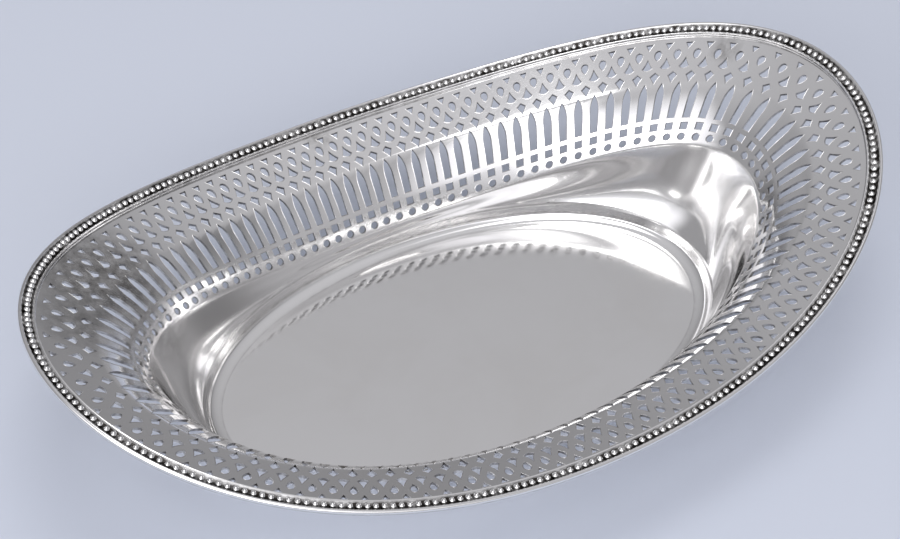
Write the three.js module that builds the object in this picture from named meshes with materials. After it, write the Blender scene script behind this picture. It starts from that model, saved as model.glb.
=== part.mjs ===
// Oval bread tray of pierced silver. One pressed sheet has a flat floor, a stepped ring
// round it, a swelling wall and a wide pierced flange that rises towards both ends.
// On its edge lies a cast border, a row of beads between two fillets, in five lengths.
// Millimetres, +Z up, long axis along X, origin on the table under the middle of the floor.

import * as THREE from "three";

// Sheet, and the line on its upper side that the beads follow
const SHEET = 0.7;
const BEAD_LINE_HALF_LENGTH = 150.3;
const BEAD_LINE_HALF_WIDTH = 92.5;
const END_EDGE_HEIGHT = 68.2;
const SIDE_EDGE_HEIGHT = 37.4;
const SADDLE_POWER = 2.25;
const EDGE_FULLNESS = 2.16;
const FLOOR_FULLNESS = 2.05;

// Floor, and the cove and riser of the stepped ring
const FLOOR_HALF_LENGTH = 90.7;
const FLOOR_HALF_WIDTH = 51.8;
const COVE_RUN = 4.6;
const COVE_RISE = 2.1;
const RISER_RUN = 1.4;
const RISER_RISE = 3.1;
const END_BELLY = 2.8;
const SIDE_BELLY = 0.3;

// Slopes of the sheet in degrees above level, at the ends and at the long sides
const FLANGE_SLOPE_AT_ENDS = 29.3;
const FLANGE_SLOPE_AT_SIDES = 15.6;
const LANCET_SLOPE_AT_ENDS = 41.5;
const LANCET_SLOPE_AT_SIDES = 51.9;
const LOWER_SLOPE_AT_ENDS = 52.7;
const LOWER_SLOPE_AT_SIDES = 62.8;

// Piercing: distances along the section, inwards from the bead line
const COLUMNS = 108;
const BEAD_LINE_TO_OVAL = 10;
const OVAL_TO_KITE = 4.4;
const KITE_TO_DIAMOND = 5.1;
const DIAMOND_TO_LANCET = 3.1;
const LANCET_TO_SQUARE = 3.5;
const SQUARE_TO_WALL = 6.5;
const OVAL_LENGTH = 4.1;
const OVAL_WIDTH = 2.9;
const KITE_WIDTH = 3.2;
const KITE_TIP = 2.8;
const KITE_SHOULDER = 0.9;
const KITE_END = 1.6;
const DIAMOND_WIDTH = 3.1;
const DIAMOND_TIP = 1.8;
const DIAMOND_SHOULDER = 0.4;
const DIAMOND_END = 2.5;
const LANCET_LENGTH = 14;
const LANCET_WIDTH = 3;
const LANCET_POINT = 4.4;
const LANCET_FOOT_WIDTH = 2.7;
const SQUARE_SIDE = 2.7;

// Share of the way that the columns turn from lines of equal angle to lines square to
// the rim, and the step in which such a line is followed
const COLUMN_LEAN = 0.45;
const LEAN_STEP = 0.5;

// Beaded border, across its section from the bead line
const BEADS = 299;
const BORDER_START_SHARE = 0.054;
const STRIP_HEIGHT = 0.4;
const BEAD_HEIGHT = 1.2;
const GAP_DEPTH = 0.6;
const TROUGH = 1.2;
const OUTER_FILLET = 2.4;
const OUTER_FILLET_HEIGHT = 0.8;
const OUTER_EDGE = 2.95;
const INNER_FILLET = 2.2;
const INNER_FILLET_HEIGHT = 1.15;
const INNER_EDGE = 3;
const BORDER_OVERHANG = 0.5;
const SOLDER_GAP = 0.3;
const JOINT_GAP = 0.3;

const BEADS_PER_FACET = 3;
const RING_SAMPLES = 2160;
const NUDGE = 0.01;

const EDGE_LENGTHS = [
  { name: "border_left_far", share: 0.2075 },
  { name: "border_left", share: 0.2075 },
  { name: "border_near_left", share: 0.2075 },
  { name: "border_make_up", share: 0.17 },
  { name: "border_right", share: 0.2075 },
];

const radians = THREE.MathUtils.degToRad;
const lerp = THREE.MathUtils.lerp;

// Middle of each row, and the foot of the lattice, along the section
const ovalRow = BEAD_LINE_TO_OVAL;
const kiteRow = ovalRow + OVAL_TO_KITE;
const diamondRow = kiteRow + KITE_TO_DIAMOND;
const lancetTip = diamondRow + DIAMOND_TO_LANCET;
const lancetFoot = lancetTip + LANCET_LENGTH;
const squareRow = lancetFoot + LANCET_TO_SQUARE;
const wallTop = squareRow + SQUARE_TO_WALL;
const sheetEdge = BORDER_OVERHANG - OUTER_EDGE;

// Hole outlines: across the column, and along the section from the middle of the row,
// anticlockwise seen from above, starting at the end nearest the rim
const holes = {
  oval: [
    [0, -OVAL_LENGTH / 2],
    [OVAL_WIDTH / 2, 0],
    [0, OVAL_LENGTH / 2],
    [-OVAL_WIDTH / 2, 0],
  ],
  kite: [
    [0, -KITE_TIP],
    [KITE_WIDTH / 2, KITE_SHOULDER],
    [0, KITE_END],
    [-KITE_WIDTH / 2, KITE_SHOULDER],
  ],
  diamond: [
    [0, -DIAMOND_TIP],
    [DIAMOND_WIDTH / 2, -DIAMOND_SHOULDER],
    [0, DIAMOND_END],
    [-DIAMOND_WIDTH / 2, -DIAMOND_SHOULDER],
  ],
  lancet: [
    [0, 0],
    [LANCET_WIDTH / 2, LANCET_POINT],
    [LANCET_FOOT_WIDTH / 2, LANCET_LENGTH],
    [-LANCET_FOOT_WIDTH / 2, LANCET_LENGTH],
    [-LANCET_WIDTH / 2, LANCET_POINT],
  ],
  square: [
    [-SQUARE_SIDE / 2, -SQUARE_SIDE / 2],
    [SQUARE_SIDE / 2, -SQUARE_SIDE / 2],
    [SQUARE_SIDE / 2, SQUARE_SIDE / 2],
    [-SQUARE_SIDE / 2, SQUARE_SIDE / 2],
  ],
};
const rowOf = { oval: ovalRow, kite: kiteRow, diamond: diamondRow, lancet: lancetTip, square: squareRow };

// Height and distance from the middle of the flange at one end or side: it runs down
// from the bead line in three straight slopes that bend at the lancets' two ends
function flangePoint(along, reach, height, slopes) {
  const first = Math.min(along, lancetTip);
  const second = THREE.MathUtils.clamp(along, lancetTip, lancetFoot) - lancetTip;
  const third = Math.max(along, lancetFoot) - lancetFoot;
  const runs = [first, second, third];
  const out = runs.reduce((sum, run, i) => sum - run * Math.cos(radians(slopes[i])), reach);
  const up = runs.reduce((sum, run, i) => sum - run * Math.sin(radians(slopes[i])), height);
  return { out, up };
}

function flangeLevel(along) {
  const endSlopes = [FLANGE_SLOPE_AT_ENDS, LANCET_SLOPE_AT_ENDS, LOWER_SLOPE_AT_ENDS];
  const sideSlopes = [FLANGE_SLOPE_AT_SIDES, LANCET_SLOPE_AT_SIDES, LOWER_SLOPE_AT_SIDES];
  return {
    end: flangePoint(along, BEAD_LINE_HALF_LENGTH, END_EDGE_HEIGHT, endSlopes),
    side: flangePoint(along, BEAD_LINE_HALF_WIDTH, SIDE_EDGE_HEIGHT, sideSlopes),
  };
}

// The stepped ring rises from the floor by the same steps all the way round
function stepLevel(run, rise) {
  return {
    end: { out: FLOOR_HALF_LENGTH + run, up: SHEET + rise },
    side: { out: FLOOR_HALF_WIDTH + run, up: SHEET + rise },
  };
}

const floorMiddle = { end: { out: 0, up: SHEET }, side: { out: 0, up: SHEET } };
const floorLevel = stepLevel(0, 0);
const coveLevel = stepLevel(COVE_RUN, COVE_RISE);
const riserLevel = stepLevel(COVE_RUN + RISER_RUN, COVE_RISE + RISER_RISE);

// The wall's belly stands out from the straight line between its top and its foot
function bellyPoint(top, foot, belly) {
  const run = top.out - foot.out;
  const rise = top.up - foot.up;
  const length = Math.hypot(run, rise);
  return {
    out: (top.out + foot.out) / 2 + (belly * rise) / length,
    up: (top.up + foot.up) / 2 - (belly * run) / length,
  };
}

function bellyLevel() {
  const top = flangeLevel(wallTop);
  return {
    end: bellyPoint(top.end, riserLevel.end, END_BELLY),
    side: bellyPoint(top.side, riserLevel.side, SIDE_BELLY),
  };
}

// Point of an oval level: a superellipse whose height swings from side to end
function ovalPoint(level, angle) {
  const { end, side } = level;
  const share = (end.out - FLOOR_HALF_LENGTH) / (BEAD_LINE_HALF_LENGTH - FLOOR_HALF_LENGTH);
  const power = 2 / lerp(FLOOR_FULLNESS, EDGE_FULLNESS, share);
  const cosine = Math.cos(angle);
  const sine = Math.sin(angle);
  const along = Math.sign(cosine) * Math.abs(cosine) ** power;
  const across = Math.sign(sine) * Math.abs(sine) ** power;
  const height = lerp(side.up, end.up, Math.abs(along) ** SADDLE_POWER);
  return new THREE.Vector3(end.out * along, side.out * across, height);
}

const flangeSpot = (angle, along) => ovalPoint(flangeLevel(along), angle);

function flangeNormal(angle, along) {
  const round = flangeSpot(angle + NUDGE, along).sub(flangeSpot(angle - NUDGE, along));
  const inwards = flangeSpot(angle, along + 1).sub(flangeSpot(angle, along - 1));
  return round.cross(inwards).normalize();
}

// Angles that cut an oval level into equal lengths, from a share of its way round
function evenAngles(level, shares) {
  const angles = Array.from({ length: RING_SAMPLES + 1 }, (_, i) => (2 * Math.PI * i) / RING_SAMPLES);
  const points = angles.map((angle) => ovalPoint(level, angle));
  const lengths = [0];
  for (let i = 1; i < points.length; i++) {
    lengths.push(lengths[i - 1] + points[i].distanceTo(points[i - 1]));
  }
  const total = lengths[RING_SAMPLES];
  const angleAt = (share) => {
    const turns = Math.floor(share);
    const wanted = (share - turns) * total;
    const next = Math.max(1, lengths.findIndex((length) => length >= wanted));
    const part = (wanted - lengths[next - 1]) / (lengths[next] - lengths[next - 1]);
    return 2 * Math.PI * turns + lerp(angles[next - 1], angles[next], part);
  };
  return { total, angles: shares.map(angleAt) };
}

// Angle at a distance along the column that starts from an angle at the lancets' feet
function columnAngle(start, along) {
  const steps = Math.max(1, Math.ceil(Math.abs(along - lancetFoot) / LEAN_STEP));
  const step = (along - lancetFoot) / steps;
  let angle = start;
  for (let i = 0; i < steps; i++) {
    const at = lancetFoot + (i + 0.5) * step;
    const round = flangeSpot(angle + NUDGE, at).sub(flangeSpot(angle - NUDGE, at));
    const inwards = flangeSpot(angle, at + NUDGE).sub(flangeSpot(angle, at - NUDGE));
    angle -= (COLUMN_LEAN * step * round.dot(inwards)) / round.lengthSq();
  }
  return angle;
}

// A closed body built from numbered corners and triangles
class Body {
  constructor() {
    this.corners = [];
    this.triangles = [];
  }

  corner(point) {
    this.corners.push(point);
    return this.corners.length - 1;
  }

  face(...ring) {
    for (let i = 2; i < ring.length; i++) {
      this.triangles.push([ring[0], ring[i - 1], ring[i]]);
    }
  }

  // Joins two rows of as many corners, the second on the left of the first
  strip(row, next) {
    for (let i = 1; i < row.length; i++) {
      this.face(row[i - 1], row[i], next[i], next[i - 1]);
    }
  }

  // Joins a fine row of corners to a coarse one on its left, segment by segment
  zip(coarse, fine) {
    const steps = coarse.length - 1;
    for (let i = 0; i < steps; i++) {
      const first = Math.round((i * (fine.length - 1)) / steps);
      const last = Math.round(((i + 1) * (fine.length - 1)) / steps);
      const middle = Math.round((first + last) / 2);
      for (let j = first; j < middle; j++) {
        this.face(coarse[i], fine[j], fine[j + 1]);
      }
      this.face(coarse[i], fine[middle], coarse[i + 1]);
      for (let j = middle; j < last; j++) {
        this.face(coarse[i + 1], fine[j], fine[j + 1]);
      }
    }
  }

  mesh(name, material) {
    const geometry = new THREE.BufferGeometry();
    const numbers = this.corners.flatMap((corner) => corner.toArray());
    geometry.setAttribute("position", new THREE.Float32BufferAttribute(numbers, 3));
    geometry.setIndex(this.triangles.flat());
    geometry.computeVertexNormals();
    const mesh = new THREE.Mesh(geometry, material);
    mesh.name = name;
    return mesh;
  }
}

// Corner of the sheet on both its sides, the lower one a sheet's thickness below
function sheetCorner(body, angle, along) {
  const upper = flangeSpot(angle, along);
  const lower = upper.clone().addScaledVector(flangeNormal(angle, along), -SHEET);
  return { upper: body.corner(upper), lower: body.corner(lower) };
}

function pierce(body, kind, start) {
  return holes[kind].map(([across, along]) => {
    const depth = rowOf[kind] + along;
    const angle = columnAngle(start, depth);
    const turned = flangeSpot(angle + NUDGE, depth).distanceTo(flangeSpot(angle - NUDGE, depth));
    const turn = (across * 2 * NUDGE) / turned;
    return { ...sheetCorner(body, angle + turn, depth), across, depth };
  });
}

// Triangles of one cell of the lattice, between two columns, worked out on the flat
function cellTriangles(cell, pitch) {
  const spread = ({ across, depth, cellSide }) => new THREE.Vector2(across + cellSide * pitch, depth);
  return fillFlat(cell.outline.map(spread), cell.inner.map((ring) => ring.map(spread)));
}

// Anticlockwise triangles that fill a flat outline but for the rings inside it
function fillFlat(outline, inner) {
  const points = [outline, ...inner].flat();
  return THREE.ShapeUtils.triangulateShape(outline, inner).map(([a, b, c]) => {
    const ab = points[b].clone().sub(points[a]);
    const ac = points[c].clone().sub(points[a]);
    return ab.cross(ac) > 0 ? [a, b, c] : [a, c, b];
  });
}

function columnCorner(body, start, depth) {
  const angle = columnAngle(start, depth);
  return { ...sheetCorner(body, angle, depth), across: 0, depth, angle };
}

// The lattice: per column a kite, a lancet and a square, and between columns an oval
// and a diamond. Returns the rings of corners at the sheet's edge and the wall's top.
function addLattice(body) {
  const shares = Array.from({ length: 2 * COLUMNS }, (_, i) => i / (2 * COLUMNS));
  const { angles } = evenAngles(flangeLevel(lancetFoot), shares);
  const columns = [];
  for (let i = 0; i < COLUMNS; i++) {
    const onColumn = angles[2 * i];
    const between = angles[2 * i + 1];
    columns.push({
      rim: columnCorner(body, onColumn, sheetEdge),
      foot: columnCorner(body, onColumn, wallTop),
      kite: pierce(body, "kite", onColumn),
      lancet: pierce(body, "lancet", onColumn),
      square: pierce(body, "square", onColumn),
      oval: pierce(body, "oval", between),
      diamond: pierce(body, "diamond", between),
    });
  }
  const { total } = evenAngles(flangeLevel(kiteRow), [0]);
  const pitch = total / COLUMNS;
  columns.forEach((column, i) => {
    const next = columns[(i + 1) % COLUMNS];
    addCell(body, column, next, pitch);
    addHoleWalls(body, column);
  });
  return { rim: columns.map((column) => column.rim), foot: columns.map((column) => column.foot) };
}

// Both faces of the sheet between two columns, and below one column's lancet
function addCell(body, column, next, pitch) {
  const at = (cellSide, ring) => ring.map((corner) => ({ ...corner, cellSide }));
  const [kiteTip, kiteRight, kiteEnd] = column.kite;
  const [lancetPoint, shoulderRight, footRight, footLeft] = column.lancet;
  const [squareLeft, squareRight, lowRight, lowLeft] = column.square;
  const down = [column.rim, kiteTip, kiteRight, kiteEnd, lancetPoint];
  down.push(shoulderRight, footRight, squareRight, lowRight, column.foot);
  const [nextTip, , nextEnd, nextLeft] = next.kite;
  const [nextPoint, , , nextFoot, nextShoulder] = next.lancet;
  const up = [next.foot, next.square[3], next.square[0], nextFoot, nextShoulder, nextPoint];
  up.push(nextEnd, nextLeft, nextTip, next.rim);
  const cell = {
    outline: [...at(0, down), ...at(1, up)],
    inner: [at(0.5, column.oval), at(0.5, column.diamond)],
  };
  const corners = [cell.outline, ...cell.inner].flat();
  for (const [a, b, c] of cellTriangles(cell, pitch)) {
    body.face(corners[a].upper, corners[b].upper, corners[c].upper);
    body.face(corners[c].lower, corners[b].lower, corners[a].lower);
  }
  for (const ring of [[footLeft, footRight, squareRight, squareLeft], [lowLeft, lowRight, column.foot]]) {
    body.face(...ring.map((corner) => corner.upper));
    body.face(...ring.map((corner) => corner.lower).reverse());
  }
}

function addHoleWalls(body, column) {
  for (const kind of Object.keys(holes)) {
    const ring = column[kind];
    ring.forEach((corner, i) => {
      const next = ring[(i + 1) % ring.length];
      body.face(corner.upper, next.upper, next.lower, corner.lower);
    });
  }
}

// Rings of the wall and the stepped ring, one corner at every second column, with the
// underside set off square to the mean of the slopes above and below
function addBowl(body, foot) {
  const angles = foot.filter((_, i) => i % 2 === 0).map((corner) => corner.angle);
  const levels = [flangeLevel(wallTop), bellyLevel(), riserLevel, coveLevel, floorLevel, floorMiddle];
  const rings = levels.slice(1, -1).map((level, i) => angles.map((angle) => {
    const upper = ovalPoint(level, angle);
    const above = ovalPoint(levels[i], angle);
    const below = ovalPoint(levels[i + 2], angle);
    const round = ovalPoint(level, angle + NUDGE).sub(ovalPoint(level, angle - NUDGE));
    const lower = upper.clone().addScaledVector(mitre(round, above, upper, below), -SHEET);
    return { upper: body.corner(upper), lower: body.corner(lower) };
  }));
  for (const side of ["upper", "lower"]) {
    const loops = [foot, ...rings].map((ring) => ring.map((corner) => corner[side]));
    addFace(body, loops, side === "upper");
  }
}

// Direction square to two adjoining strips of the sheet, longer where they meet sharply
function mitre(round, above, corner, below) {
  const outer = round.clone().cross(corner.clone().sub(above)).normalize();
  const inner = round.clone().cross(below.clone().sub(corner)).normalize();
  const mean = outer.clone().add(inner).normalize();
  return mean.divideScalar(mean.dot(inner));
}

function addFace(body, loops, facesUp) {
  const close = (loop) => [...loop, loop[0]];
  const mark = body.triangles.length;
  body.zip(close(loops[1]), close(loops[0]));
  for (let i = 2; i < loops.length; i++) {
    const outer = close(loops[i - 1]);
    const inner = close(loops[i]);
    for (let j = 1; j < outer.length; j++) {
      body.face(inner[j - 1], outer[j - 1], outer[j], inner[j]);
    }
  }
  body.face(...loops[loops.length - 1]);
  if (!facesUp) {
    body.triangles.slice(mark).forEach((triangle) => triangle.reverse());
  }
}

function makeTray() {
  const body = new Body();
  const { rim, foot } = addLattice(body);
  rim.forEach((corner, i) => {
    const next = rim[(i + 1) % rim.length];
    body.face(corner.lower, next.lower, next.upper, corner.upper);
  });
  addBowl(body, foot);
  return body.mesh("tray_body", silver(0xc8c6c2));
}

// Section of the border, outwards from the bead line and up from the solder: its outer
// foot and fillet, the trough, the low ridge between two beads, and the same inwards
const RIDGE = 3;
const borderSection = [
  [OUTER_EDGE, 0],
  [OUTER_FILLET, STRIP_HEIGHT + OUTER_FILLET_HEIGHT],
  [TROUGH, STRIP_HEIGHT],
  [0, STRIP_HEIGHT + BEAD_HEIGHT - GAP_DEPTH],
  [-TROUGH, STRIP_HEIGHT],
  [-INNER_FILLET, STRIP_HEIGHT + INNER_FILLET_HEIGHT],
  [-INNER_EDGE, 0],
];

// One length of the border: the section's corners carried along the sheet's edge, with
// the ridge rising to each bead's top
function makeBorderLength(name, startBead, beads) {
  const body = new Body();
  const level = flangeLevel(0);
  const { total } = evenAngles(level, [0]);
  const margin = JOINT_GAP / 2 / total;
  const shareAt = (bead) => BORDER_START_SHARE + (startBead + bead) / BEADS;
  const first = shareAt(0) + margin;
  const last = shareAt(beads) - margin;
  const line = (steps, outwards, heightAt) => {
    const shares = Array.from({ length: steps + 1 }, (_, i) => lerp(first, last, i / steps));
    return evenAngles(level, shares).angles.map((angle, i) => {
      const point = flangeSpot(angle, -outwards);
      return body.corner(point.addScaledVector(flangeNormal(angle, -outwards), SOLDER_GAP + heightAt(i)));
    });
  };
  const facets = Math.round(beads / BEADS_PER_FACET);
  const rows = borderSection.map(([outwards, height], i) =>
    i === RIDGE
      ? line(2 * beads, outwards, (step) => height + (step % 2 ? GAP_DEPTH : 0))
      : line(facets, outwards, () => height),
  );
  rows.forEach((row, i) => {
    const next = rows[(i + 1) % rows.length];
    if (row.length === next.length) {
      body.strip(row, next);
    }
  });
  body.zip(rows[RIDGE + 1], rows[RIDGE]);
  const mark = body.triangles.length;
  body.zip(rows[RIDGE - 1], rows[RIDGE]);
  body.triangles.slice(mark).forEach((triangle) => triangle.reverse());
  const outline = borderSection.map(([outwards, height]) => new THREE.Vector2(outwards, height));
  for (const [a, b, c] of fillFlat(outline, [])) {
    body.face(rows[a].at(0), rows[b].at(0), rows[c].at(0));
    body.face(rows[c].at(-1), rows[b].at(-1), rows[a].at(-1));
  }
  return body.mesh(name, silver(0xd6d4d0));
}

function silver(color) {
  return new THREE.MeshStandardMaterial({ color, roughness: 0.22, metalness: 1 });
}

const tray = new THREE.Group();
tray.add(makeTray());
let bead = 0;
let share = 0;
for (const length of EDGE_LENGTHS) {
  share += length.share;
  const end = Math.round(Math.min(share, 1) * BEADS);
  tray.add(makeBorderLength(length.name, bead, end - bead));
  bead = end;
}

export default tray;
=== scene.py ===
"""Oval bread tray of pierced silver with a beaded edge, on a pale table in soft light."""

import math

import bmesh
import bpy
import numpy as np
from mathutils import Matrix, Vector


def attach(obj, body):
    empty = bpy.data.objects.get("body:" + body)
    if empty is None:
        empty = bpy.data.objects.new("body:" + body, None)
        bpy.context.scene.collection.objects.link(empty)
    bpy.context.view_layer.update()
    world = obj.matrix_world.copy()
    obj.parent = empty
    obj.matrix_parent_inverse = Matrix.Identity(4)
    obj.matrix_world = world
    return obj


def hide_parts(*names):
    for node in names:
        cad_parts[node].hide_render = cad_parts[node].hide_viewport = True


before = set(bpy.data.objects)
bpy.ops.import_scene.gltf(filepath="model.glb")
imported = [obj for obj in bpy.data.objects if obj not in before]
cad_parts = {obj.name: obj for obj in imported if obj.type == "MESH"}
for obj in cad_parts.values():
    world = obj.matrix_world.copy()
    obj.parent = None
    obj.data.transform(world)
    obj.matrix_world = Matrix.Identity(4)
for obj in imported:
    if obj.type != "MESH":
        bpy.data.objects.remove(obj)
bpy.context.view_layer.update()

# Lengths are in millimetres up to the last step of each piece, which scales them
MM = 0.001

# Lengths that differ by less than NEAR are equal, and points nearer than MERGE are joined
NEAR = 0.01
MERGE = 0.002

# Sheet, and the line near its edge that all distances inwards are taken from: reach
# and height of the upper side at the ends and at the long sides
SHEET = 0.7
RIM = {"end": (150.0, 68.0), "side": (92.15, 37.3)}
SADDLE_POWER = 2.25
EDGE_FULLNESS = 0.013
FLOOR_FULLNESS = 0.004
OVAL_STEPS = 7200

# Slopes of the flange in degrees at the ends and at the sides, by distance inwards
SHEET_EDGE = -2.5
WALL_TOP = 46.3
SLOPES = (
    (-4.0, 29.3, 15.2),
    (21.2, 29.3, 15.2),
    (23.4, 36.5, 43.0),
    (29.0, 41.5, 52.0),
    (36.3, 47.0, 57.5),
    (39.0, 52.0, 62.0),
    (WALL_TOP, 54.0, 64.0),
)

# Bowl: reach of the floor, and how far out and up the cove's top and the riser's top
# are; then the ways that the cove leaves its top and meets the floor, with how far it
# keeps to each, and how far the corners are rounded
FLOOR = {"end": 90.7, "side": 51.8}
COVE = (4.6, 2.1)
RISER = (1.4, 3.1)
COVE_FALL = (-0.6, -1.3)
COVE_RUN_OUT = (2.2, 0.3)
COVE_PULLS = (0.9, 1.7)
RISER_ROUND = 0.9
COVE_ROUND = 0.5
ROUND_PULL = 0.55

# Wall of the bowl: how far it keeps to its slope in degrees, at its head and at its foot
WALL = {"end": (9.0, 66.0, 13.0, 47.0), "side": (2.2, 72.0, 2.6, 86.0)}

# Rings of faces in each stretch of the bowl, from the wall down to the flat floor
RINGS = {"wall": 17, "shoulder": 5, "riser": 2, "lip": 4, "cove": 6, "corner": 4}

# Piercing: columns, the share of the way that they turn from lines of equal angle to
# lines square to the rim, and how far the hand-laid spacing is ahead of an even one,
# in columns, at a few columns round the tray
COLUMNS = 108
COLUMN_LEAN = 0.45
SPACING = ((0, 0.1), (5, 0.6), (13, 0.95), (20, 1.1), (26, 0.95), (32, 0.5), (39, 0.0),
           (45, -0.15), (51, 0.4), (60, 0.3), (COLUMNS, 0.1))
LANCET_FOOT = 36.4

# Lattice: steps across a column, the distance between levels of the columns' lines, how
# many steps a place stays short of their end, the burr raised round each hole, and the
# plain band between the sheet's edge and the first row
STEPS = 4
LEVEL_STEP = 0.25
LAST_STEP = 1.001
BURR_WIDTH = 0.26
BURR_HEIGHT = 0.07
MARGIN = 3.9
PLAIN_ROWS = 3

# Painted shade on the holes' walls, which darkens them, and the dullness of the sheet's back
HOLE_WALL_SHADE = 0.68
BACK_DULL = 0.12

# Beaded border: where its first length starts and what each length takes of the whole
# way round, the line of its beads, and one bead's half sizes, fineness, height over the
# sheet, the level above its middle where its painted shade stops, and how far below that the painted shade
# is darkest
BEADS = 299
BORDER_START = 0.054
BORDER_SHARES = (0.2075, 0.2075, 0.2075, 0.17, 0.2075)
BORDER_NODES = ("border_left_far", "border_left", "border_near_left", "border_make_up", "border_right")
BORDER_SHARP_ANGLE = math.radians(50)
BEAD_LINE = -0.35
JOINT_GAP = 0.08
BEAD = {"along": 1.06, "across": 1.2, "tall": 1.05}
BEAD_SIDES = {"u_segments": 8, "v_segments": 6}
BEAD_SEAT = 1.0
BEAD_SHADE_TOP = 0.35
BEAD_SHADE_DEPTH = 0.6


def unit(vectors):
    return vectors / np.linalg.norm(vectors, axis=-1, keepdims=True)


# The sheet's section

def flange_section(step=0.05):
    """Rows of distance, end reach, end height, side reach and side height."""
    table = np.array(SLOPES)
    along = np.arange(table[0, 0], WALL_TOP + step / 2, step)
    start = int(np.argmin(abs(along)))
    columns = [along]
    for key, column in (("end", 1), ("side", 2)):
        slope = np.radians(np.interp(along, table[:, 0], table[:, column]))
        middle = (slope[1:] + slope[:-1]) / 2
        run = np.concatenate(([0.0], np.cumsum(np.cos(middle) * step)))
        drop = np.concatenate(([0.0], np.cumsum(np.sin(middle) * step)))
        columns += [RIM[key][0] - run + run[start], RIM[key][1] - drop + drop[start]]
    return np.array(columns).T


def bezier(points, count):
    t = np.linspace(0.0, 1.0, count + 1)[:, None]
    a, b, c, d = (np.array(point, float) for point in points)
    return a * (1 - t) ** 3 + 3 * b * t * (1 - t) ** 2 + 3 * c * t ** 2 * (1 - t) + d * t ** 3


def line(a, b):
    return a, a + (b - a) / 3, a + (b - a) * 2 / 3, b


def rounding(start, corner, end):
    return start, start + (corner - start) * ROUND_PULL, end + (corner - end) * ROUND_PULL, end


def slope_direction(degrees):
    return np.array((math.cos(math.radians(degrees)), math.sin(math.radians(degrees))))


def bowl_section(top, key, fine):
    """Reach and height from the wall's top to the flat floor, fine points per ring."""
    head, head_slope, foot, foot_slope = WALL[key]
    floor = np.array((FLOOR[key], SHEET))
    cove = floor + COVE
    riser = cove + RISER
    down = -slope_direction(head_slope)
    up = slope_direction(foot_slope)
    face = unit(cove - riser)
    fall = unit(np.array(COVE_FALL))
    run_out = unit(np.array(COVE_RUN_OUT))
    wall_end = riser + up * RISER_ROUND
    face_start = riser + face * RISER_ROUND
    face_end = cove - face * COVE_ROUND
    hollow_start = cove + fall * COVE_ROUND
    hollow_end = floor + run_out * COVE_ROUND
    hollow_pulls = (hollow_start + fall * COVE_PULLS[0], hollow_end + run_out * COVE_PULLS[1])
    floor_start = floor - (COVE_ROUND, 0.0)
    parts = {
        "wall": (top, top + down * head, riser + up * foot, wall_end),
        "shoulder": rounding(wall_end, riser, face_start),
        "riser": line(face_start, face_end),
        "lip": rounding(face_end, cove, hollow_start),
        "cove": (hollow_start, *hollow_pulls, hollow_end),
        "corner": rounding(hollow_end, floor, floor_start),
    }
    rows = [bezier(points, RINGS[name] * fine)[1:] for name, points in parts.items()]
    return np.concatenate([np.array(top)[None]] + rows)


def whole_section(fine=8):
    """The section from the sheet's edge to the flat floor; in the bowl, one unit per ring."""
    flange = flange_section()
    end = bowl_section(flange[-1, 1:3], "end", fine)
    side = bowl_section(flange[-1, 3:5], "side", fine)
    along = WALL_TOP + np.arange(len(end)) / fine
    bowl = np.column_stack((along, end, side))
    return np.concatenate((flange, bowl[1:]))


SECTION = whole_section()
SECTION_TURN = np.gradient(SECTION[:, 1:], SECTION[:, 0], axis=0)
BOWL_RINGS = sum(RINGS.values())
FLOOR_EDGE = WALL_TOP + BOWL_RINGS


def oval(angle, along):
    """Point of the sheet's upper side, and its directions round the tray and inwards.

    A third harmonic fills the outline out between its axes, most of all at the edge, and
    the height rises from the sides to the ends by a power of the way along the tray.
    """
    reach, height, width, low = (np.interp(along, SECTION[:, 0], SECTION[:, i]) for i in (1, 2, 3, 4))
    d_reach, d_height, d_width, d_low = (
        np.interp(along, SECTION[:, 0], SECTION_TURN[:, i]) for i in range(4)
    )
    gain = (EDGE_FULLNESS - FLOOR_FULLNESS) / (RIM["end"][0] - FLOOR["end"])
    full = FLOOR_FULLNESS + gain * (reach - FLOOR["end"])
    swell_x = np.cos(angle) - np.cos(3 * angle)
    swell_y = np.sin(angle) + np.sin(3 * angle)
    x = np.cos(angle) + full * swell_x
    y = np.sin(angle) + full * swell_y
    rise = abs(x) ** SADDLE_POWER
    steep = SADDLE_POWER * abs(x) ** (SADDLE_POWER - 1) * np.sign(x)
    point = np.stack((reach * x, width * y, low + (height - low) * rise), -1)
    round_x = -np.sin(angle) + full * (-np.sin(angle) + 3 * np.sin(3 * angle))
    round_y = np.cos(angle) + full * (np.cos(angle) + 3 * np.cos(3 * angle))
    around = np.stack((reach * round_x, width * round_y, (height - low) * steep * round_x), -1)
    in_x = gain * d_reach * swell_x
    in_y = gain * d_reach * swell_y
    fall = d_low + (d_height - d_low) * rise + (height - low) * steep * in_x
    inwards = np.stack((d_reach * x + reach * in_x, d_width * y + width * in_y, fall), -1)
    return point, around, inwards


def surface(angle, along, depth=0.0, across=0.0):
    """Point at a depth under the sheet's upper side, and the direction out of that side."""
    angle, along, depth, across = np.broadcast_arrays(angle, along, depth, across)
    _, around, _ = oval(angle, along)
    angle = angle + across / np.linalg.norm(around, axis=-1)
    point, around, inwards = oval(angle, along)
    normal = unit(np.cross(around, inwards))
    return point - normal * depth[..., None], normal


def even_angles(along, shares):
    """Angles that part the oval at this distance into equal lengths, and its whole length."""
    angle = np.linspace(0.0, 2 * np.pi, OVAL_STEPS + 1)
    point, _, _ = oval(angle, np.full(angle.shape, along))
    length = np.concatenate(([0.0], np.cumsum(np.linalg.norm(np.diff(point, axis=0), axis=1))))
    turns = np.floor(shares)
    return 2 * np.pi * turns + np.interp((shares - turns) * length[-1], length, angle), length[-1]


# Hole outlines: right half, from the end nearest the rim to the other end, as
# distances across the column and inwards from the rim line; width is a half width

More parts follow.
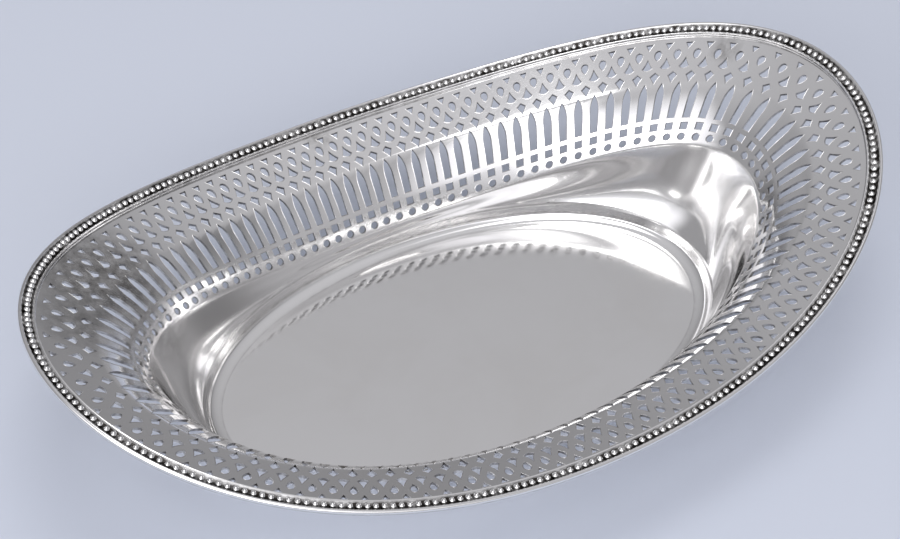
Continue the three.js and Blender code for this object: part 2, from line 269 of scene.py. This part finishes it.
def triangle_hole(steps):
    base, tip, width = 4.75, 7.15, 1.3
    head = [(width * t, base) for t in (0.0, 0.5)]
    flank = [(width * (1 - t), base + (tip - base) * t) for t in np.linspace(0, 1, steps - 1)]
    return head + flank


def drop_hole(steps):
    top, length, width = 7.7, 4.25, 1.6
    fullness, blunt, sharp = 1.84, 0.5, 0.8
    shares = (1 - np.cos(np.linspace(0, math.pi, steps + 1))) / 2
    swell = [width * fullness * s ** blunt * (1 - s) ** sharp for s in shares]
    return [(across, top + length * s) for across, s in zip(swell, shares)]


def spade_hole(steps):
    tip, shoulder, foot, width = 11.15, 15.0, 15.95, 1.75
    hollow, heel_width, heel_rise = 1.35, 0.55, 0.3
    flank = [(width * t ** hollow, tip + (shoulder - tip) * t) for t in np.linspace(0, 1, steps - 1)]
    return flank + [(width * heel_width, foot - heel_rise), (0.0, foot)]


def diamond_hole(steps):
    top, shoulder, foot, width, hollow = 17.2, 18.75, 21.9, 1.65, 1.25
    head = [(width * t, top + (shoulder - top) * t) for t in (0.0, 0.5)]
    shares = np.linspace(0, 1, steps - 1)
    tail = [(width * (1 - t) ** hollow, shoulder + (foot - shoulder) * t) for t in shares]
    return head + tail


def lancet_hole(steps):
    tip, foot, width, point, taper = 22.0, LANCET_FOOT, 1.6, 5.8, 0.25
    point_levels, shaft_start = [0.0, 0.8, 1.8], 2.9
    levels = point_levels + list(np.linspace(shaft_start, foot - tip, steps - 4))
    bulge = [width * (1 - max(0.0, 1 - t / point) ** 2) - taper * t / (foot - tip) for t in levels]
    flank = [(max(0.0, across), tip + t) for across, t in zip(bulge, levels)]
    return flank + [(flank[-1][0] / 2, foot), (0.0, foot)]


def square_hole(steps):
    top, side = 38.3, 2.8
    half = side / 2
    flank = [(half, top + side * t) for t in np.linspace(0, 1, steps - 3)]
    return [(0.0, top), (half / 2, top)] + flank + [(half / 2, top + side), (0.0, top + side)]


def round_hole(steps):
    middle, radius = 44.0, 1.4
    turns = np.linspace(0, math.pi, steps + 1)
    return [(radius * math.sin(a), middle - radius * math.cos(a)) for a in turns]


# Rows from the rim inwards: outline, place in the column, side steps, and the waving
# line below it, which keeps clear of the holes on both its sides: its middle and wave
ROWS = (
    (triangle_hole, 0.0, 2, 7.4, 0.3),
    (drop_hole, 0.5, 4, 11.6, -0.95),
    (spade_hole, 0.0, 4, 16.6, 0.0),
    (diamond_hole, 0.5, 4, 21.95, -0.65),
    (lancet_hole, 0.0, 9, 37.35, 0.0),
    (square_hole, 0.0, 3, 41.85, 0.0),
    (round_hole, 0.0, 3, WALL_TOP, 0.0),
)

# What each vertex of the lattice carries until it is laid out: the column that it
# belongs to, its distances inwards and across the column, and its depth in the sheet
LAYERS = ("turn", "along", "across", "depth")


def new_lattice():
    bm = bmesh.new()
    return bm, [bm.verts.layers.float.new(name) for name in LAYERS]


def finished(bm, name):
    mesh = bpy.data.meshes.new(name)
    bm.to_mesh(mesh)
    bm.free()
    return mesh


def place(vert, layers, values):
    for layer, value in zip(layers, values):
        vert[layer] = value


def closed(half):
    """A right half outline and its mirror image, as one ring."""
    return half + [(-side, rest) for side, rest in half[-2:0:-1]]


def outwards(ring):
    """The ring moved out by the width of a burr, square to its outline."""
    ring = np.array(ring)
    before = unit(ring - np.roll(ring, 1, axis=0))
    after = unit(np.roll(ring, -1, axis=0) - ring)
    normals = [np.column_stack((-side[:, 1], side[:, 0])) for side in (before, after)]
    mean = unit(normals[0] + normals[1])
    stretch = np.clip((mean * normals[0]).sum(axis=1), 0.5, 1.0)
    return ring + mean * (BURR_WIDTH / stretch)[:, None]


def parting_line(mean, wave, turn):
    """Distance inwards of the line between two rows."""
    return mean + wave * math.cos(2 * math.pi * turn)


def frame_outline(side_steps):
    """Right half of a hole's frame: turn from its middle, and share of the way inwards."""
    half = STEPS // 2
    upper = [(i / STEPS, 0.0) for i in range(half + 1)]
    side = [(0.5, i / side_steps) for i in range(1, side_steps + 1)]
    lower = [((half - i) / STEPS, 1.0) for i in range(1, half + 1)]
    return upper + side + lower


def add_row(bm, layers, row, line_above):
    """One hole with the burr round it, in a frame one column wide."""
    outline, middle, side_steps, *line_below = row
    ring = closed(outline(side_steps + STEPS))
    burr_foot = outwards([(across, -along) for across, along in ring])
    frame_ring = []
    for turn, share in closed(frame_outline(side_steps)):
        turn += middle
        upper = parting_line(*line_above, turn)
        lower = parting_line(*line_below, turn)
        frame_ring.append((turn, upper + (lower - upper) * share))
    # From the hole outwards: the burr's crest, its foot and the frame
    loop = bmesh.ops.create_circle(bm, segments=len(ring), radius=1.0)["verts"]
    for vert, (across, along) in zip(loop, ring):
        place(vert, layers, (middle, along, across, -BURR_HEIGHT))
    loop = widen(bm, loop)
    for vert, (across, along) in zip(loop, burr_foot):
        place(vert, layers, (middle, -along, across, 0.0))
    loop = widen(bm, loop)
    for vert, (turn, along) in zip(loop, frame_ring):
        place(vert, layers, (turn, along, 0.0, 0.0))


def widen(bm, loop):
    """A new ring of vertices joined to the loop by faces, in the loop's order."""
    edges = [bm.edges.get((loop[i - 1], loop[i])) for i in range(len(loop))]
    made = bmesh.ops.extrude_edge_only(bm, edges=edges)["geom"]
    new = {item for item in made if isinstance(item, bmesh.types.BMVert)}
    return [next(e.other_vert(v) for e in v.link_edges if e.other_vert(v) in new) for v in loop]


def add_plain(bm, layers, end, first, last, columns, rows):
    """A plain band between two distances, as a grid from the first column to the end one."""
    made = bmesh.ops.create_grid(bm, x_segments=columns, y_segments=rows, size=0.5)["verts"]
    for vert in made:
        turn = end * (vert.co.x + 0.5)
        along = first + (last - first) * (vert.co.y + 0.5)
        place(vert, layers, (turn, along, 0.0, 0.0))


def column_mesh():
    """One column of the flange, from the sheet's edge to the wall's top."""
    bm, layers = new_lattice()
    add_plain(bm, layers, 1.0, SHEET_EDGE, MARGIN, STEPS, PLAIN_ROWS)
    line_above = (MARGIN, 0.0)
    for row in ROWS:
        add_row(bm, layers, row, line_above)
        line_above = row[3:]
    return finished(bm, "column")


def lean_on(angles, along, step):
    """The columns' angles one step further inwards, leaning towards lines square to the rim."""
    _, around, inwards = oval(angles, np.full(angles.shape, along + step / 2))
    return angles - COLUMN_LEAN * step * (around * inwards).sum(-1) / (around ** 2).sum(-1)


def column_lines():
    """Angle at each quarter of a column, a little past a whole turn, for each level."""
    turns = np.arange(-STEPS, (COLUMNS + 2) * STEPS) / STEPS
    ahead = np.interp(turns % COLUMNS, *zip(*SPACING))
    start, _ = even_angles(LANCET_FOOT, (turns + ahead) / COLUMNS)
    levels = {0: start}
    for way, reach in ((1, WALL_TOP), (-1, SECTION[0, 0])):
        for i in range(int(abs(reach - LANCET_FOOT) / LEVEL_STEP) + 1):
            along = LANCET_FOOT + way * i * LEVEL_STEP
            levels[way * (i + 1)] = lean_on(levels[way * i], along, way * LEVEL_STEP)
    keys = sorted(levels)
    return turns[0], keys[0], np.array([levels[key] for key in keys])


FIRST_TURN, FIRST_LEVEL, LINES = column_lines()


def column_angle(turn, along):
    """Angle on the oval where a column's line crosses a distance inwards."""
    right = np.clip((turn - FIRST_TURN) * STEPS, 0, LINES.shape[1] - LAST_STEP)
    down = np.clip((along - LANCET_FOOT) / LEVEL_STEP - FIRST_LEVEL, 0, LINES.shape[0] - LAST_STEP)
    i, j = right.astype(int), down.astype(int)
    s, t = right - i, down - j
    above = LINES[j, i] * (1 - s) + LINES[j, i + 1] * s
    below = LINES[j + 1, i] * (1 - s) + LINES[j + 1, i + 1] * s
    return above * (1 - t) + below * t


def lay_out(bm, layers):
    """Moves every vertex to its place on the curved sheet."""
    turn, along, across, depth = (np.array([v[layer] for v in bm.verts]) for layer in layers)
    angle = column_angle(turn, along)
    points, _ = surface(angle, along, depth, across)
    for vert, point in zip(bm.verts, points * MM):
        vert.co = point


def sheet_mesh():
    """The whole pressed sheet, from the rim to the floor, with all its holes."""
    bm, layers = new_lattice()
    turn, along, _, depth = layers
    column = column_mesh()
    for i in range(COLUMNS):
        first = len(bm.verts)
        bm.from_mesh(column)
        bm.verts.ensure_lookup_table()
        for vert in bm.verts[first:]:
            vert[turn] += i
    bpy.data.meshes.remove(column)
    add_plain(bm, layers, COLUMNS, WALL_TOP, FLOOR_EDGE, COLUMNS * STEPS, BOWL_RINGS)
    lay_out(bm, layers)
    bmesh.ops.remove_doubles(bm, verts=bm.verts[:], dist=MERGE * MM)
    # The flat floor is one face inside the last ring
    edge = [e for e in bm.edges if e.is_boundary and all(v[along] > FLOOR_EDGE - NEAR for v in e.verts)]
    bmesh.ops.edgeloop_fill(bm, edges=edge)
    # The back mirrors the upper side in the middle of the sheet, and walls join the two
    made = bmesh.ops.extrude_face_region(bm, geom=bm.faces[:])["geom"]
    for item in made:
        if isinstance(item, bmesh.types.BMVert):
            item[depth] = SHEET - item[depth]
    lay_out(bm, layers)
    bmesh.ops.recalc_face_normals(bm, faces=bm.faces[:])
    return finished(bm, "sheet")


def read(mesh, name):
    values = np.empty(len(mesh.vertices), np.float32)
    mesh.attributes[name].data.foreach_get("value", values)
    return values.astype(float)


def on_skin(depth):
    """True on the sheet's upper side and on its back, and not on a burr."""
    return abs(abs(depth - SHEET / 2) - SHEET / 2) < NEAR


def shade_sheet(mesh):
    """Normals of the true curved sheet, so that the polish mirrors without facets.

    A burr's foot has the sheet's own normal and its crest leans away from the hole.
    The walls of the holes and the sheet's edge keep the normals of their faces.
    """
    turn, along, across, depth = (read(mesh, name) for name in LAYERS)
    angle = column_angle(turn, along)
    _, normal = surface(angle, along, depth, across)
    corner = np.empty(len(mesh.loops), np.int32)
    mesh.loops.foreach_get("vertex_index", corner)
    totals = np.empty(len(mesh.polygons), np.int32)
    mesh.polygons.foreach_get("loop_total", totals)
    face_normal = np.empty(len(mesh.polygons) * 3, np.float32)
    mesh.polygons.foreach_get("normal", face_normal)
    face = np.repeat(np.arange(len(totals)), totals)
    starts = np.concatenate(([0], np.cumsum(totals)[:-1]))
    low = np.minimum.reduceat(depth[corner], starts)[face]
    high = np.maximum.reduceat(depth[corner], starts)[face]
    normals = face_normal.reshape(-1, 3).astype(float)[face]
    middle = SHEET / 2
    skin = np.where((high < middle)[:, None], normal[corner], -normal[corner])
    plain = high - low < NEAR
    burr = ~plain & ((high < middle) | (low > middle))
    foot = burr & on_skin(depth[corner])
    crest = burr & ~on_skin(depth[corner])
    leaning = unit(math.sqrt(2) * normals - skin)
    normals[plain | foot] = skin[plain | foot]
    normals[crest] = leaning[crest]
    mesh.shade_smooth()
    mesh.normals_split_custom_set(unit(normals).tolist())


# Painted shade along lines of the sheet, which are painted darker and duller: distance inwards, half width,
# and how dark the middle is, for the crease under the border, the stepped ring's shoulder and lip, and the
# floor's edge
PAINTED_SHADE_LINES = (
    (2.8, 1.0, 0.75),
    (FLOOR_EDGE - 18.5, 1.2, 0.35),
    (FLOOR_EDGE - 13.0, 1.6, 0.5),
    (FLOOR_EDGE - 3.0, 1.6, 0.2),
)

# Stained places on the sheet, from above: where, how far they reach and how dull the
# middle is
STAINS = (
    (-113.0, 43.0, 27.0, 0.62),
    (-129.0, 22.0, 17.0, 0.4),
    (131.0, 37.5, 6.0, 0.4),
    (-12.0, 88.0, 6.0, 0.5),
)


def stain_and_shade(mesh):
    """Writes how dark each vertex is painted, from tarnish, stains and painted shade, in place of what it
    carried for the lattice.
    """
    along = read(mesh, "along")
    depth = read(mesh, "depth")
    places = np.empty(len(along) * 3, np.float32)
    mesh.vertices.foreach_get("co", places)
    places = places.reshape(-1, 3) / MM
    darkening = np.zeros(len(along))
    # Painted shade: dark lines along the creases and the stepped ring's corners
    for middle, reach, amount in PAINTED_SHADE_LINES:
        darkening = np.maximum(darkening, amount * np.clip(1 - abs(along - middle) / reach, 0, 1))
    # Painted shade: the holes' walls and burr crests are painted dark
    darkening = np.where(on_skin(depth), darkening, np.maximum(darkening, HOLE_WALL_SHADE))
    darkening = np.where(depth > SHEET / 2, np.maximum(darkening, BACK_DULL), darkening)
    for x, y, reach, amount in STAINS:
        away = np.hypot(places[:, 0] - x, places[:, 1] - y) / reach
        darkening = np.maximum(darkening, amount * np.clip(1 - away ** 2, 0, 1))
    attribute = mesh.attributes.new("tarnish_and_shade", "FLOAT", "POINT")
    attribute.data.foreach_set("value", darkening.astype(np.float32))
    for name in LAYERS:
        mesh.attributes.remove(mesh.attributes[name])


def add_object(name, data):
    made = bpy.data.objects.new(name, data)
    bpy.context.scene.collection.objects.link(made)
    return made


def add_piece(name, mesh, metal, node):
    piece = add_object(name, mesh)
    mesh.materials.append(metal)
    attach(piece, "root")
    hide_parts(node)


def add_sheet(metal):
    mesh = sheet_mesh()
    shade_sheet(mesh)
    stain_and_shade(mesh)
    add_piece("pierced_tray", mesh, metal, "tray_body")


# The beaded border

# Its section, outwards from the bead line and up from the sheet, with how dark the
# metal is there, which is painted shade with some tarnish, darkest in the trough under the beads: outer side
# and crest, trough, inner crest, second ridge and foot
BORDER_SECTION = (
    (2.4, -0.6, 0.3),
    (2.55, -0.3, 0.3),
    (2.86, 0.08, 0.1),
    (2.93, 0.35, 0.0),
    (2.82, 0.85, 0.0),
    (2.6, 1.2, 0.0),
    (2.3, 1.36, 0.0),
    (2.0, 1.3, 0.1),
    (1.75, 1.05, 0.6),
    (1.5, 0.8, 1.0),
    (1.15, 0.6, 1.0),
    (0.0, 0.5, 1.0),
    (-1.15, 0.6, 1.0),
    (-1.45, 0.85, 1.0),
    (-1.7, 1.4, 0.6),
    (-1.95, 1.76, 0.05),
    (-2.2, 1.86, 0.0),
    (-2.42, 1.7, 0.0),
    (-2.52, 1.25, 0.7),
    (-2.62, 1.08, 0.7),
    (-2.8, 1.06, 0.0),
    (-2.96, 0.85, 0.0),
    (-3.03, 0.3, 0.5),
    (-3.05, -0.15, 0.6),
)


def border_mesh(first_bead, last_bead):
    """One length of the border, closed at its ends, with its beads in the trough."""
    bm = bmesh.new()
    dark = bm.verts.layers.float.new("tarnish_and_shade")
    beads = last_bead - first_bead
    stations = 2 * beads
    _, length = even_angles(BEAD_LINE, np.array([0.0]))
    gap = JOINT_GAP / 2 / length
    ends = [BORDER_START + first_bead / BEADS + gap, BORDER_START + last_bead / BEADS - gap]
    angles, _ = even_angles(BEAD_LINE, np.linspace(*ends, stations + 1))
    outline = np.array(BORDER_SECTION + BORDER_SECTION[:1])
    sides = len(BORDER_SECTION)
    grid = bmesh.ops.create_grid(bm, x_segments=stations, y_segments=sides, size=0.5)["verts"]
    column = np.array([round((v.co.x + 0.5) * stations) for v in grid])
    row = np.array([round((v.co.y + 0.5) * sides) for v in grid])
    points, _ = surface(angles[column], BEAD_LINE - outline[row, 0], -outline[row, 1])
    # Painted shade with some tarnish: each vertex takes how dark it is from the section
    for vert, point, amount in zip(grid, points * MM, outline[row, 2]):
        vert.co = point
        vert[dark] = amount
    # Joining the first row to the last closes the section, and filling closes the ends
    bmesh.ops.remove_doubles(bm, verts=bm.verts[:], dist=MERGE * MM)
    bmesh.ops.holes_fill(bm, edges=[e for e in bm.edges if e.is_boundary])
    for i in range(beads):
        add_bead(bm, dark, BORDER_START + (first_bead + i + 0.5) / BEADS)
    bmesh.ops.recalc_face_normals(bm, faces=bm.faces[:])
    mesh = finished(bm, "border")
    mesh.shade_smooth()
    mesh.set_sharp_from_angle(angle=BORDER_SHARP_ANGLE)
    return mesh


def add_bead(bm, dark, share):
    """A bead this share of the way round, with painted shade on its lower part where it sits in the trough.
    """
    angle, _ = even_angles(BEAD_LINE, np.array([share]))
    _, around, _ = oval(angle, np.array([BEAD_LINE]))
    point, normal = surface(angle, BEAD_LINE, -BEAD_SEAT)
    along = unit(around)[0]
    up = normal[0]
    across = np.cross(up, along)
    axes = np.eye(4)
    axes[:3, 0] = along * BEAD["along"] * MM
    axes[:3, 1] = across * BEAD["across"] * MM
    axes[:3, 2] = up * BEAD["tall"] * MM
    axes[:3, 3] = point[0] * MM
    matrix = Matrix(axes.tolist())
    bead = bmesh.ops.create_uvsphere(bm, radius=1.0, matrix=matrix, **BEAD_SIDES)["verts"]
    for vert in bead:
        level = (Vector(vert.co) / MM - Vector(point[0])).dot(Vector(up))
        # Painted shade: the bead's lower part is painted darker
        vert[dark] = min(1.0, max(0.0, (BEAD_SHADE_TOP - level) / BEAD_SHADE_DEPTH))


def add_border(metal):
    edges = [round(BEADS * share) for share in np.cumsum((0.0,) + BORDER_SHARES)]
    for name, first, last in zip(BORDER_NODES, edges, edges[1:]):
        add_piece(f"beaded_{name}", border_mesh(first, last), metal, name)


# Shader nodes

def material(name):
    made = bpy.data.materials.new(name)
    made.use_nodes = True
    return made, made.node_tree


def node(tree, kind, links=(), **settings):
    """A new node with its settings, its inputs linked or set."""
    made = tree.nodes.new(kind)
    for key, value in settings.items():
        setattr(made, key, value)
    for key, value in links:
        if isinstance(value, bpy.types.NodeSocket):
            tree.links.new(value, made.inputs[key])
        else:
            made.inputs[key].default_value = value
    return made


def stretched(tree, where, turn, stretch):
    """Coordinates turned about the vertical and pressed together along one direction."""
    return node(tree, "ShaderNodeMapping", (
        ("Vector", where),
        ("Rotation", (0.0, 0.0, math.radians(turn))),
        ("Scale", stretch),
    )).outputs["Vector"]


def noise(tree, where, scale, detail, roughness, distortion=0.0):
    return node(tree, "ShaderNodeTexNoise", (
        ("Vector", where),
        ("Scale", scale),
        ("Detail", detail),
        ("Roughness", roughness),
        ("Distortion", distortion),
    )).outputs["Fac"]


def ranged(tree, value, source, target=(0.0, 1.0), smooth=False):
    """The value carried from the source range to the target range, and held inside it."""
    return node(tree, "ShaderNodeMapRange", (
        ("Value", value),
        ("From Min", source[0]),
        ("From Max", source[1]),
        ("To Min", target[0]),
        ("To Max", target[1]),
    ), interpolation_type="SMOOTHSTEP" if smooth else "LINEAR").outputs["Result"]


def maths(tree, operation, *values):
    return node(tree, "ShaderNodeMath", enumerate(values), operation=operation).outputs["Value"]


def mixed(tree, share, first, second, kind="RGBA"):
    links = (("Factor", share), ("A", first), ("B", second))
    return node(tree, "ShaderNodeMix", links, data_type=kind).outputs["Result"]


def bumped(tree, height, distance, normal=None):
    links = [("Height", height), ("Distance", distance), ("Strength", 1.0)]
    if normal is not None:
        links.append(("Normal", normal))
    return node(tree, "ShaderNodeBump", links).outputs["Normal"]


# Silver

# Colours of the clean metal where the polish is bright and where it is clouded
BRIGHT = (0.935, 0.93, 0.928, 1.0)
CLOUDED = (0.80, 0.775, 0.745, 1.0)
MOST_CLOUDED = 0.24

# How fine the patterns of the finish are, per metre
CLOUD_SCALE = 22.0
WAVE_SCALE = 38.0
PIT_SCALE = 60.0
GRIME_SCALE = 230.0
SCRATCH_SCALE = 2600.0

# Pits: the random grey above which a cell has one, a pit's inner and outer radius in
# cells, and its darkness
PIT_THRESHOLD = 0.62
PIT_RADII = (0.012, 0.026)
PIT_DARKNESS = 0.75

# Polish marks: bearing and fineness of each set, how long they are drawn, their depth
# in metres, and the roughness that they, the clouds and the tarnish and painted shade add
MARK_SETS = ((12.0, 1.0), (71.0, 1.3), (-38.0, 0.8))
MARK_STRETCH = (0.05, 1.0, 1.0)
MARK_DEPTH = 0.000003
MARK_ROUGHNESS = 0.12
CLOUD_ROUGHNESS = 0.05
TARNISH_AND_SHADE_ROUGHNESS = 0.3


def polish_marks(tree, where):
    """Fine lines left by polishing, crossing at several bearings."""
    marks = None
    for turn, fineness in MARK_SETS:
        drawn = stretched(tree, where, turn, MARK_STRETCH)
        lines = noise(tree, drawn, SCRATCH_SCALE * fineness, detail=3.0, roughness=0.7)
        marks = lines if marks is None else maths(tree, "ADD", marks, lines)
    return maths(tree, "DIVIDE", marks, float(len(MARK_SETS)))


def dirt_and_shade(tree, where, tarnish_and_shade):
    """Share of darkening: patchy grime over the tarnish and the painted shade, and scattered pits."""
    speckle = noise(tree, where, GRIME_SCALE, detail=5.0, roughness=0.65)
    grime_and_shade = maths(tree, "MULTIPLY", tarnish_and_shade, ranged(tree, speckle, (0.36, 0.64), (0.45, 1.3)))
    cells = node(tree, "ShaderNodeTexVoronoi", (("Vector", where), ("Scale", PIT_SCALE))).outputs
    chosen = maths(tree, "GREATER_THAN", cells["Color"], PIT_THRESHOLD)
    pit = ranged(tree, cells["Distance"], PIT_RADII, (PIT_DARKNESS, 0.0))
    return maths(tree, "MAXIMUM", grime_and_shade, maths(tree, "MULTIPLY", chosen, pit))


def silver(name, planishing, polish, darkest):
    """Old polished silver: wavy from planishing, finely scratched, dark where dirt, tarnish and painted
    shade sit.

    Planishing is the depth of the waves in metres, and polish the least roughness.
    """
    made, tree = material(name)
    shader = tree.nodes["Principled BSDF"]
    shader.inputs["Metallic"].default_value = 1.0
    where = node(tree, "ShaderNodeTexCoord").outputs["Object"]
    tarnish_and_shade = node(tree, "ShaderNodeAttribute", attribute_name="tarnish_and_shade").outputs["Fac"]
    cloud = noise(tree, where, CLOUD_SCALE, detail=5.0, roughness=0.6, distortion=0.4)
    breath = ranged(tree, cloud, (0.35, 0.75), (0.0, MOST_CLOUDED), smooth=True)
    metal = mixed(tree, breath, BRIGHT, CLOUDED)
    # The tarnish, stains and painted shade darken the metal towards its darkest colour
    colour = mixed(tree, dirt_and_shade(tree, where, tarnish_and_shade), metal, darkest)
    tree.links.new(colour, shader.inputs["Base Color"])
    marks = polish_marks(tree, where)
    smear = ranged(tree, cloud, (0.3, 0.7), (polish, polish + CLOUD_ROUGHNESS))
    scratches = ranged(tree, marks, (0.5, 0.68), (0.0, MARK_ROUGHNESS))
    scratched = maths(tree, "ADD", smear, scratches)
    rough = maths(tree, "MULTIPLY_ADD", tarnish_and_shade, TARNISH_AND_SHADE_ROUGHNESS, scratched)
    tree.links.new(rough, shader.inputs["Roughness"])
    waves = bumped(tree, noise(tree, where, WAVE_SCALE, detail=1.0, roughness=0.4), planishing)
    lines = bumped(tree, marks, MARK_DEPTH, waves)
    tree.links.new(lines, shader.inputs["Normal"])
    return made


# Table and light, in metres

TABLE_HALF_WIDTH = 4.0
TABLE_COLOUR = (0.65, 0.69, 0.785, 1.0)
TABLE_ROUGHNESS = 0.9
TABLE_SHEEN = 0.2

# The pale room: its brightness low down and overhead, the sines of the rises between
# which it grows, and its patches: bearing, rise, half width, half height and softness in
# degrees, and how much lighter or darker
ROOM = (0.34, 0.63)
ROOM_HEIGHTS = (0.5, 1.0)
ROOM_PATCHES = (
    (226.0, 31.0, 58.0, 17.0, 9.0, 0.8),
    (250.0, 52.0, 24.0, 12.0, 9.0, 0.36),
    (298.0, 20.0, 18.0, 16.0, 9.0, 0.13),
    (110.0, 44.0, 22.0, 12.0, 9.0, -0.06),
    (20.0, 14.0, 17.0, 6.0, 7.0, -0.18),
    (338.0, 26.0, 12.0, 10.0, 8.0, -0.12),
    (104.0, 2.0, 22.0, 8.0, 7.0, -0.17),
    (60.0, 15.0, 24.0, 8.0, 6.0, -0.07),
)
ROOM_COLOUR = (0.965, 0.96, 1.0, 1.0)
DARKEST_ROOM = 0.05
BACKDROP_BRIGHTNESS = 0.66

# Softboxes: bearing and rise in degrees, distance, width and height, and brightness;
# they start to fade at this share of the way from the middle to each edge
SOFTBOXES = {
    "long_softbox": (225.0, 32.0, 1.5, (2.6, 0.8), 2.4),
    "high_softbox": (258.0, 62.0, 1.5, (1.0, 0.8), 0.8),
    "overhead_softbox": (60.0, 86.0, 1.3, (0.72, 0.72), 3.4),
}
FADE_START = 0.4


def add_table():
    bm = bmesh.new()
    bmesh.ops.create_grid(bm, x_segments=2, y_segments=2, size=TABLE_HALF_WIDTH)
    mesh = finished(bm, "table")
    table = add_object("table", mesh)
    made, tree = material("table_paper")
    shader = tree.nodes["Principled BSDF"]
    shader.inputs["Base Color"].default_value = TABLE_COLOUR
    shader.inputs["Roughness"].default_value = TABLE_ROUGHNESS
    shader.inputs["Specular IOR Level"].default_value = TABLE_SHEEN
    mesh.materials.append(made)


def heading(bearing, rise):
    """Unit direction from its bearing round from +X and its rise over the table."""
    bearing, rise = math.radians(bearing), math.radians(rise)
    return Vector((math.cos(bearing) * math.cos(rise), math.sin(bearing) * math.cos(rise), math.sin(rise)))


def parts_of(tree, vector):
    return node(tree, "ShaderNodeSeparateXYZ", (("Vector", vector),)).outputs


def window(tree, where, bearing, rise, half_width, half_height, soft):
    """1 inside a patch of directions, falling smoothly to 0 round it."""
    turned = node(tree, "ShaderNodeVectorRotate", (
        ("Vector", where),
        ("Angle", -math.radians(bearing)),
    ), rotation_type="Z_AXIS").outputs["Vector"]
    parts = parts_of(tree, turned)
    aside = maths(tree, "ARCTAN2", parts["Y"], parts["X"])
    above = maths(tree, "SUBTRACT", maths(tree, "ARCSINE", parts["Z"]), math.radians(rise))
    shares = []
    for angle, half in ((aside, half_width), (above, half_height)):
        edges = (math.radians(half + soft), math.radians(half - soft))
        shares.append(ranged(tree, maths(tree, "ABSOLUTE", angle), edges, smooth=True))
    return maths(tree, "MULTIPLY", *shares)


def add_world():
    """The room as the metal and the table see it, and a plain backdrop for the camera."""
    world = bpy.data.worlds.new("studio")
    bpy.context.scene.world = world
    world.use_nodes = True
    tree = world.node_tree
    where = node(tree, "ShaderNodeTexCoord").outputs["Generated"]
    light = ranged(tree, parts_of(tree, where)["Z"], ROOM_HEIGHTS, ROOM)
    for *patch, amount in ROOM_PATCHES:
        light = maths(tree, "MULTIPLY_ADD", window(tree, where, *patch), amount, light)
    light = maths(tree, "MAXIMUM", light, DARKEST_ROOM)
    seen = node(tree, "ShaderNodeLightPath").outputs["Is Camera Ray"]
    shown = mixed(tree, seen, light, BACKDROP_BRIGHTNESS, "FLOAT")
    background = tree.nodes["Background"]
    background.inputs["Color"].default_value = ROOM_COLOUR
    tree.links.new(shown, background.inputs["Strength"])


def add_softbox(name, bearing, rise, distance, size, brightness):
    """A lamp that faces the middle of the tray and fades towards its edges."""
    light = bpy.data.lights.new(name, "AREA")
    light.shape = "RECTANGLE"
    light.size, light.size_y = size
    light.energy = brightness * size[0] * size[1] * math.pi
    light.use_nodes = True
    tree = light.node_tree
    # Parametric coordinates run from 0 to 1 over the lamp, and these from -1 to 1
    centred = node(tree, "ShaderNodeMapping", (
        ("Vector", node(tree, "ShaderNodeNewGeometry").outputs["Parametric"]),
        ("Location", (-1.0, -1.0, 0.0)),
        ("Scale", (2.0, 2.0, 0.0)),
    )).outputs["Vector"]
    parts = parts_of(tree, centred)
    aside = [maths(tree, "ABSOLUTE", parts[key]) for key in "XY"]
    fades = [ranged(tree, way, (1.0, FADE_START), smooth=True) for way in aside]
    tree.links.new(maths(tree, "MULTIPLY", *fades), tree.nodes["Emission"].inputs["Strength"])
    lamp = add_object(name, light)
    towards = heading(bearing, rise)
    lamp.location = towards * distance
    lamp.rotation_euler = towards.to_track_quat("Z", "Y").to_euler()


# The photograph's view: bearing and drop of the line of sight, roll, focal length in
# pixels of the picture's width, distance, and the aim's offset to the right and up
PICTURE_WIDTH = 900
BEARING = math.radians(31.4)
DROP = math.radians(44.1)
ROLL = math.radians(1.94)
FOCAL_PIXELS = 2018
DISTANCE = 711 * MM
AIM_RIGHT = -5.35 * MM
AIM_UP = 27.25 * MM
CLIP_START = 10 * MM


def add_camera():
    right = Vector((math.cos(BEARING), -math.sin(BEARING), 0.0))
    ahead = Vector((math.sin(BEARING) * math.cos(DROP), math.cos(BEARING) * math.cos(DROP), -math.sin(DROP)))
    up = right.cross(ahead)
    rolled_right = right * math.cos(ROLL) + up * math.sin(ROLL)
    rolled_up = up * math.cos(ROLL) - right * math.sin(ROLL)
    camera = bpy.data.cameras.new("camera")
    camera.sensor_fit = "HORIZONTAL"
    camera.lens = FOCAL_PIXELS / PICTURE_WIDTH * camera.sensor_width
    camera.clip_start = CLIP_START
    eye = add_object("camera", camera)
    floor_top = Vector((0.0, 0.0, SHEET * MM))
    where = floor_top + rolled_right * AIM_RIGHT + rolled_up * AIM_UP - ahead * DISTANCE
    axes = Matrix((rolled_right, rolled_up, -ahead)).transposed().to_4x4()
    eye.matrix_world = Matrix.Translation(where) @ axes
    bpy.context.scene.camera = eye


sheet_silver = silver("sheet_silver", planishing=0.00007, polish=0.05, darkest=(0.10, 0.088, 0.078, 1.0))
border_silver = silver("border_silver", planishing=0.00002, polish=0.1, darkest=(0.05, 0.045, 0.042, 1.0))
add_sheet(sheet_silver)
add_border(border_silver)
add_table()
add_world()
for lamp_name, values in SOFTBOXES.items():
    add_softbox(lamp_name, *values)
add_camera()
bpy.context.scene.view_settings.view_transform = "Standard"
